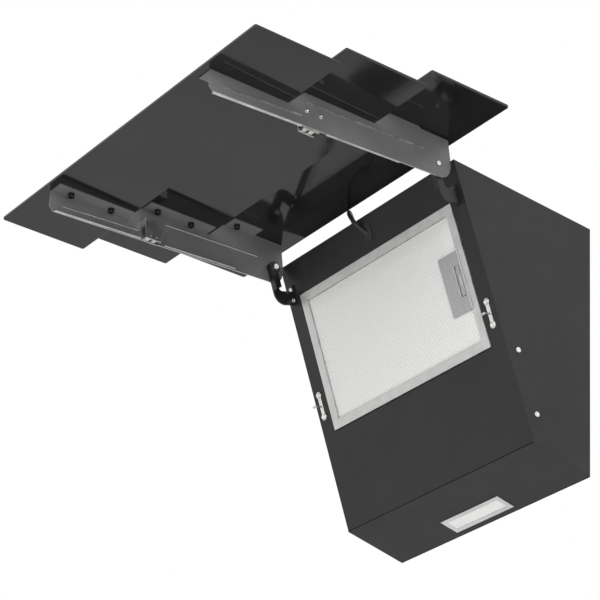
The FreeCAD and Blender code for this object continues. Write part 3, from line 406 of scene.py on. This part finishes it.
def add_screw(shape, place, radius, height, sides):
    """A screw head on the place's Z axis, with a socket of that many sides."""
    socket = radius * SOCKET_SHARE
    depth = height * SOCKET_DEPTH_SHARE
    rings = lathe(shape, screw_profile(radius, height, socket, depth), place)
    inverse = place.inverted()
    for ring in rings[-2:]:
        for vertex in ring:
            local = inverse @ vertex.co
            turn = math.atan2(local.y, local.x)
            sector = 2 * math.pi / sides
            offset = (turn + sector / 2) % sector - sector / 2
            reach = socket * math.cos(sector / 2) / math.cos(offset)
            local.x = reach * math.cos(turn)
            local.y = reach * math.sin(turn)
            vertex.co = place @ local
    cap(shape, rings[0])
    cap(shape, rings[-1])


def along(axis):
    """A rotation that takes +Z to a signed axis name such as '-X'."""
    target = {"X": Vector((1, 0, 0)), "Y": Vector((0, 1, 0)), "Z": Vector((0, 0, 1))}[axis[1]]
    if axis[0] == "-":
        target = -target
    return target.to_track_quat("Z", "Y").to_matrix().to_4x4()


def outer_screws(node, place, material, height, axis=None, sides=6):
    """A socketed head at the outer end of each screw of a CAD node, with a plain shank below."""
    shape = bmesh.new()
    for low, high in islands(node, place):
        centre = (low + high) / 2
        direction = axis or ("+X" if centre.x > 0 else "-X")
        index = "XYZ".index(direction[1])
        across = [high[i] - low[i] for i in range(3) if i != index]
        radius = min(across) / 2
        end = high[index] if direction[0] == "+" else low[index]
        sign = 1 if direction[0] == "+" else -1
        seat = centre.copy()
        seat[index] = end - sign * height
        spot = place @ Matrix.Translation(seat) @ along(direction)
        add_screw(shape, spot, radius, height, sides)
        length = high[index] - low[index] - height
        if length > SHORTEST_SHANK:
            shank = radius * SHANK_SHARE
            rings = lathe(shape, [(shank, -length), (shank, 0)], spot)
            cap(shape, rings[0])
            cap(shape, rings[1])
    piece = add_piece(f"{node}_piece", finish_mesh(node, shape), material, node)
    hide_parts(node)
    return piece


# ------------------------------------------------------------ the filter

MESH_GRID = 0.0013
WEAVE_RELIEF = 0.00012
CROWN_DROP = 0.0022
CROWN_RISE = 9
CROWN_SIDE_RISE = 1.7


def make_filter_mesh():
    """A pressed aluminium pack: crowned in the middle, with a woven surface in relief."""
    low, high = islands("filter_mesh", FACE)[0]
    columns = int((high.x - low.x) / MESH_GRID)
    rows = int((high.y - low.y) / MESH_GRID)
    turn = 2 * math.pi / WEAVE_PITCH
    shape = bmesh.new()
    grid = []
    for row in range(rows + 1):
        line = []
        for column in range(columns + 1):
            u = column / columns
            v = row / rows
            x = low.x + (high.x - low.x) * u
            y = low.y + (high.y - low.y) * v
            crown = min(1.0, CROWN_RISE * min(u, 1 - u) * CROWN_SIDE_RISE,
                        CROWN_RISE * min(v, 1 - v))
            weave = WEAVE_RELIEF * (1 - max(math.sin((x + y) * turn), math.sin((x - y) * turn)))
            edge = column in (0, columns) or row in (0, rows)
            z = high.z - CROWN_DROP * (1 - crown ** 0.5) - (0.0 if edge else weave)
            line.append(shape.verts.new(FACE @ Vector((x, y, z))))
        grid.append(line)
    for row in range(rows):
        for column in range(columns):
            shape.faces.new((grid[row][column], grid[row][column + 1],
                             grid[row + 1][column + 1], grid[row + 1][column]))
    close_underneath(shape, grid, low.z)
    piece = add_piece("filter_mesh_piece", finish_mesh("filter_mesh", shape), "filter_mesh",
                      "filter_mesh", 180.0)
    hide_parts("filter_mesh")


def close_underneath(shape, grid, floor):
    """Gives a grid of points straight sides and a flat back."""
    rim = list(grid[0]) + [line[-1] for line in grid[1:]]
    rim += list(reversed(grid[-1][:-1])) + [line[0] for line in reversed(grid[1:-1])]
    back = []
    for vertex in rim:
        local = FACE.inverted() @ vertex.co
        local.z = floor
        back.append(shape.verts.new(FACE @ local))
    count = len(rim)
    for index in range(count):
        after = (index + 1) % count
        shape.faces.new((rim[index], back[index], back[after], rim[after]))
    shape.faces.new(back)


# ------------------------------------------------------------- the cable

CABLE_ROUTE = [
    (0.0030, -0.2380, 0.1670),
    (-0.0080, -0.2580, 0.1800),
    (-0.0200, -0.2665, 0.2020),
    (-0.0350, -0.2570, 0.2220),
    (-0.0530, -0.2380, 0.2300),
    (-0.0710, -0.2170, 0.2280),
    (-0.0880, -0.1980, 0.2160),
    (-0.1080, -0.1820, 0.2040),
    (-0.1320, -0.1785, 0.2000),
]
TAIL_ROUTE = [
    (-0.1755, -0.1350, 0.2064),
    (-0.1755, -0.0880, 0.2093),
]
CABLE_RADIUS = 0.0032
OUTER_TURN = 0.0435
INNER_TURN = 0.0371
POINTS_PER_TURN = 16
CHANGE_START = 0.75


def coil_points():
    """Turns on the top panel: out, in, in above, out above, then a quarter turn to the tail."""
    centre_x = CABLE_ROUTE[-1][0]
    centre_y = CABLE_ROUTE[-1][1] + OUTER_TURN
    low = CABLE_ROUTE[-1][2]
    high = low + 2 * CABLE_RADIUS
    radii = (OUTER_TURN, INNER_TURN, INNER_TURN, OUTER_TURN, OUTER_TURN)
    heights = (low, low, high, high, high)
    points = []
    for step in range(1, 4 * POINTS_PER_TURN + POINTS_PER_TURN // 4):
        turns = step / POINTS_PER_TURN
        whole = int(turns)
        part = max(0.0, (turns - whole - CHANGE_START) / (1 - CHANGE_START))
        after = min(whole + 1, len(radii) - 1)
        radius = radii[whole] + (radii[after] - radii[whole]) * part
        height = heights[whole] + (heights[after] - heights[whole]) * part
        angle = -math.pi / 2 - 2 * math.pi * turns
        points.append((centre_x + radius * math.cos(angle), centre_y + radius * math.sin(angle),
                       height))
    return points


def make_cable():
    """The mains cable: out of its grommet, over in an arch, round the coil and on to the plug."""
    points = CABLE_ROUTE + coil_points() + TAIL_ROUTE
    curve = bpy.data.curves.new("mains_cable", "CURVE")
    curve.dimensions = "3D"
    curve.bevel_depth = CABLE_RADIUS
    curve.bevel_resolution = 6
    curve.resolution_u = 8
    spline = curve.splines.new("NURBS")
    spline.points.add(len(points) - 1)
    for slot, point in zip(spline.points, points):
        slot.co = (*point, 1)
    spline.order_u = 3
    spline.use_endpoint_u = True
    curve.materials.append(MATERIALS["rubber"])
    cable = bpy.data.objects.new("mains_cable", curve)
    bpy.context.scene.collection.objects.link(cable)
    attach(cable, "housing")
    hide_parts("cord_tube", "cord_coil", "cord_tail")
    plug = soften("mains_plug", "rubber", 0.0012)
    grommet = soften("cable_grommet", "rubber", 0.0004)


# ----------------------------------------------------------------- scene

def dress_housing():
    for node in ("back_panel", "left_side_panel", "right_side_panel", "top_panel",
                 "bottom_panel", "face_panel"):
        soften(node, "housing", 0.0005)
    soften("filter_tray", "housing", 0.0003)
    for node in ("left_hinge_arm", "right_hinge_arm"):
        soften(node, "arm", 0.0011, 4)
    for node in ("left_strike", "right_strike"):
        soften(node, "zinc", 0.0003)
    outer_screws("side_screws", WORLD, "zinc", 0.0018)
    outer_screws("arm_screws", FACE, "zinc", 0.0018, "+Z")
    outer_screws("strike_screws", FACE, "zinc", 0.0018, "+Z")
    soften("pivot_bolts", "zinc", 0.0006)


# Ribs that carry the painted highlight, as front and rear depth and the height at each end, and the bottom lips
# whose undersides carry it, as front and rear depth; metres, in the front's frame.
RIBS = ((-0.361, -0.234, -0.027, -0.019), (-0.226, -0.026, 0.005, 0.013))
LIPS = ((-0.374, -0.231), (-0.191, -0.066))
RIB_HALF_HEIGHT = 0.0009
RIB_CREST = 0.4
RIB_SUNK = 0.0002
RIB_PROUD = 0.0004
RIB_PROUD_OUTSIDE = 0.0010
RIB_TEST_DEPTH = 0.0008
LIP_CEILING = -0.015
FACES_DOWN = -0.7
BRACKET_SHEET = 0.0015


def in_lip(depth):
    return any(front < depth < rear for front, rear in LIPS)


def paint_rib_and_lip_highlights(piece):
    """Painted highlight: a brighter metal on the raised ribs and the undersides of the bottom lips, standing for
    light caught from below.
    """
    mesh = piece.data
    mesh.materials.append(MATERIALS["painted_highlight"])
    local = FRONT.inverted()
    turn = local.to_3x3()
    web = max(abs(vertex.co.x) for vertex in mesh.vertices) - RIB_TEST_DEPTH
    for face in mesh.polygons:
        centre = local @ face.center
        normal = turn @ face.normal
        rib = abs(centre.x) > web
        lip = normal.z < FACES_DOWN and centre.z < LIP_CEILING and in_lip(centre.y)
        if rib or lip:
            face.material_index = 1


def make_highlighted_ribs():
    """The pressed ribs as they show on the inner face of the left bracket, in the brighter metal of the painted
    highlight that stands for light caught on them.
    """
    shape = bmesh.new()
    web_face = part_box("left_bracket")[0].x + RIB_PROUD_OUTSIDE + BRACKET_SHEET
    for front, rear, start, end in RIBS:
        ends = []
        for y, z in ((front, start), (rear, end)):
            corners = (
                (web_face - RIB_SUNK, z - RIB_HALF_HEIGHT),
                (web_face + RIB_PROUD, z - RIB_CREST * RIB_HALF_HEIGHT),
                (web_face + RIB_PROUD, z + RIB_CREST * RIB_HALF_HEIGHT),
                (web_face - RIB_SUNK, z + RIB_HALF_HEIGHT),
            )
            ends.append([shape.verts.new(FRONT @ Vector((x, y, height)))
                         for x, height in corners])
        for index in range(4):
            after = (index + 1) % 4
            shape.faces.new((ends[0][index], ends[0][after], ends[1][after], ends[1][index]))
        shape.faces.new(ends[0])
        shape.faces.new(ends[1])
    add_piece("left_bracket_highlighted_ribs", finish_mesh("left_bracket_highlighted_ribs", shape), "painted_highlight",
              "left_bracket")


def dress_front():
    for node in ("lower_glass", "middle_glass", "upper_glass"):
        soften(node, "glass", 0.0009)
    for node in ("left_bracket", "right_bracket"):
        # painted highlight on the brackets' ribs and lip undersides
        paint_rib_and_lip_highlights(soften(node, "bracket", 0.0005, angle=20.0, joined=False))
    # real pressed ribs, coloured with the painted highlight metal
    make_highlighted_ribs()
    for node in ("left_catch", "right_catch"):
        soften(node, "catch", 0.0004)
    for node in ("front_catch_rollers", "rear_catch_rollers", "pivot_washers"):
        soften(node, "zinc", 0.0004)
    outer_screws("bracket_screws", FRONT, "screw_black", 0.0065, "-Z")
    outer_screws("catch_screws", FRONT, "zinc", 0.0016)


def dress_filter():
    soften("filter_frame", "filter_frame", 0.0012, 4)
    make_filter_mesh()
    soften("latch_plate", "latch", 0.0008)
    soften("latch_slider", "latch", 0.0006)


def dress_lamp():
    soften("lamp_bezel", "bezel", 0.0006)
    soften("lamp_lens", "lens", 0.0008)
    soften("lamp_driver", "pale_moulding", 0.001)
    soften("lamp_board", "board", 0.0002, 2)


def dress_fan():
    for node in ("fan_scroll", "fan_inlet_plate", "fan_motor_plate"):
        paint(node, "fan")
    paint("impeller", "galvanised")
    for node in ("motor_shaft", "impeller_nut", "motor_screws"):
        soften(node, "zinc", 0.0003)
    soften("motor", "motor", 0.0015)


def dress_outlet():
    soften("outlet_collar", "fan", 0.0004)
    for node in ("left_flap", "right_flap"):
        soften(node, "fan", 0.0004)
    outer_screws("collar_screws", WORLD, "zinc", 0.0018, "+Z")
    soften("flap_pin", "zinc", 0.0004)


def dress_electrics():
    for node in ("control_box", "control_lid", "cord_anchor"):
        soften(node, "pale_moulding", 0.0008)
    soften("control_board", "board", 0.0003, 2)
    soften("capacitor", "can", 0.001)


# The camera looks from below and to the right, with a slight roll. Degrees, metres and, for
# the lens and the sensor, millimetres.
CAMERA_PLACE = Vector((2.18198, -1.91087, -1.58731))
CAMERA_AZIMUTH = 54.53
CAMERA_ELEVATION = -30.89
CAMERA_ROLL = 4.31
CAMERA_LENS = 137.45
CAMERA_SENSOR = 36.0
CAMERA_REACH = 50.0


def make_camera():
    azimuth = math.radians(CAMERA_AZIMUTH)
    elevation = math.radians(CAMERA_ELEVATION)
    forward = Vector((-math.sin(azimuth) * math.cos(elevation),
                      math.cos(azimuth) * math.cos(elevation), -math.sin(elevation)))
    right = Vector((math.cos(azimuth), math.sin(azimuth), 0))
    up = right.cross(forward)
    roll = math.radians(CAMERA_ROLL)
    across = right * math.cos(roll) + up * math.sin(roll)
    upward = up * math.cos(roll) - right * math.sin(roll)
    turn = Matrix((across, upward, -forward)).transposed()
    data = bpy.data.cameras.new("camera")
    data.lens = CAMERA_LENS
    data.sensor_width = CAMERA_SENSOR
    data.clip_end = CAMERA_REACH
    camera = bpy.data.objects.new("camera", data)
    camera.matrix_world = Matrix.Translation(CAMERA_PLACE) @ turn.to_4x4()
    bpy.context.scene.collection.objects.link(camera)
    bpy.context.scene.camera = camera


def make_light(name, place, target, size, power):
    data = bpy.data.lights.new(name, "AREA")
    data.shape = "RECTANGLE"
    data.size, data.size_y = size
    data.energy = power
    light = bpy.data.objects.new(name, data)
    light.location = place
    light.rotation_euler = (Vector(target) - Vector(place)).to_track_quat("-Z", "Y").to_euler()
    bpy.context.scene.collection.objects.link(light)


# Name, place, the point it faces, size and power of each light, in metres and watts.
LIGHTS = (
    ("key", (1.6, -2.2, 0.6), (0, -0.2, 0), (1.4, 1.4), 25),
    ("low_fill", (1.9, -0.9, -1.1), (-0.1, -0.5, 0.1), (1.2, 1.2), 16),
    ("under", (0.2, -0.3, -1.6), (0.1, -0.3, -0.2), (1.2, 1.2), 9),
)
FLOOR_HEIGHT = -1.75
FLOOR_SIZE = 14.0


def make_stage():
    shape = bmesh.new()
    half = FLOOR_SIZE / 2
    corners = ((-half, -half), (half, -half), (half, half), (-half, half))
    shape.faces.new([shape.verts.new((x, y, FLOOR_HEIGHT)) for x, y in corners])
    mesh = finish_mesh("floor", shape)
    floor = bpy.data.objects.new("floor", mesh)
    bpy.context.scene.collection.objects.link(floor)
    made, tree, shader = new_material("pale_floor")
    tree.links.new(ramp(tree, noise(tree, 2.0), (0.60, 0.60, 0.60), (0.64, 0.64, 0.64)),
                   shader.inputs["Base Color"])
    shader.inputs["Roughness"].default_value = 0.7
    mesh.materials.append(made)


def light_scene():
    world = bpy.data.worlds.new("studio")
    world.use_nodes = True
    background = world.node_tree.nodes["Background"]
    background.inputs["Color"].default_value = (1, 1, 1, 1)
    background.inputs["Strength"].default_value = 1.0
    bpy.context.scene.world = world
    bpy.context.scene.view_settings.view_transform = "Standard"
    for light in LIGHTS:
        make_light(*light)


make_camera()
light_scene()
make_stage()
make_cable()
dress_housing()
dress_front()
dress_filter()
dress_lamp()
dress_fan()
dress_outlet()
dress_electrics()
